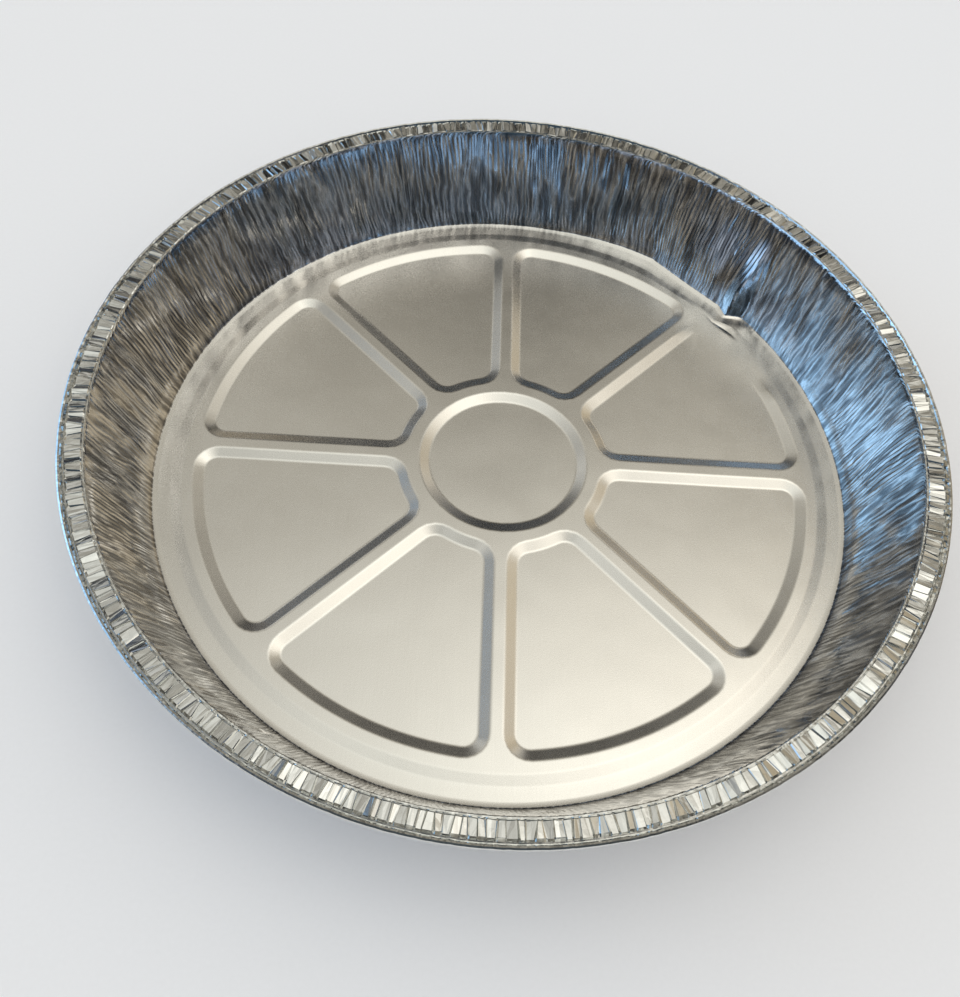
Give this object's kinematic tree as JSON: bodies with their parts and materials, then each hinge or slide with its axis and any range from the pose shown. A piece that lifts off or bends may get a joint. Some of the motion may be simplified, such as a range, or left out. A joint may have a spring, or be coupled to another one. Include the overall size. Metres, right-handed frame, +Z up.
{
  "type": "foil pie tin",
  "caption": "Round shallow aluminium foil pie tin with a ribbed floor, a crumpled flaring side, a pleated flange and a curled edge, dented at one place in its side.",
  "frame": {"origin": "middle of the base, on the plane that the floor's panels rest on", "axes": "+Z up out of the open top, along the tin's round axis; +X along one spoke of the floor; the dent lies between +X and +Y"},
  "size_m": [0.23, 0.23, 0.0323],
  "materials": {
    "foil": "thin pressed foil, satin on the floor and bright on the crumpled side and flange"
  },
  "bodies": {
    "root": {"pie_tin": "foil"}
  },
  "joints": []
}
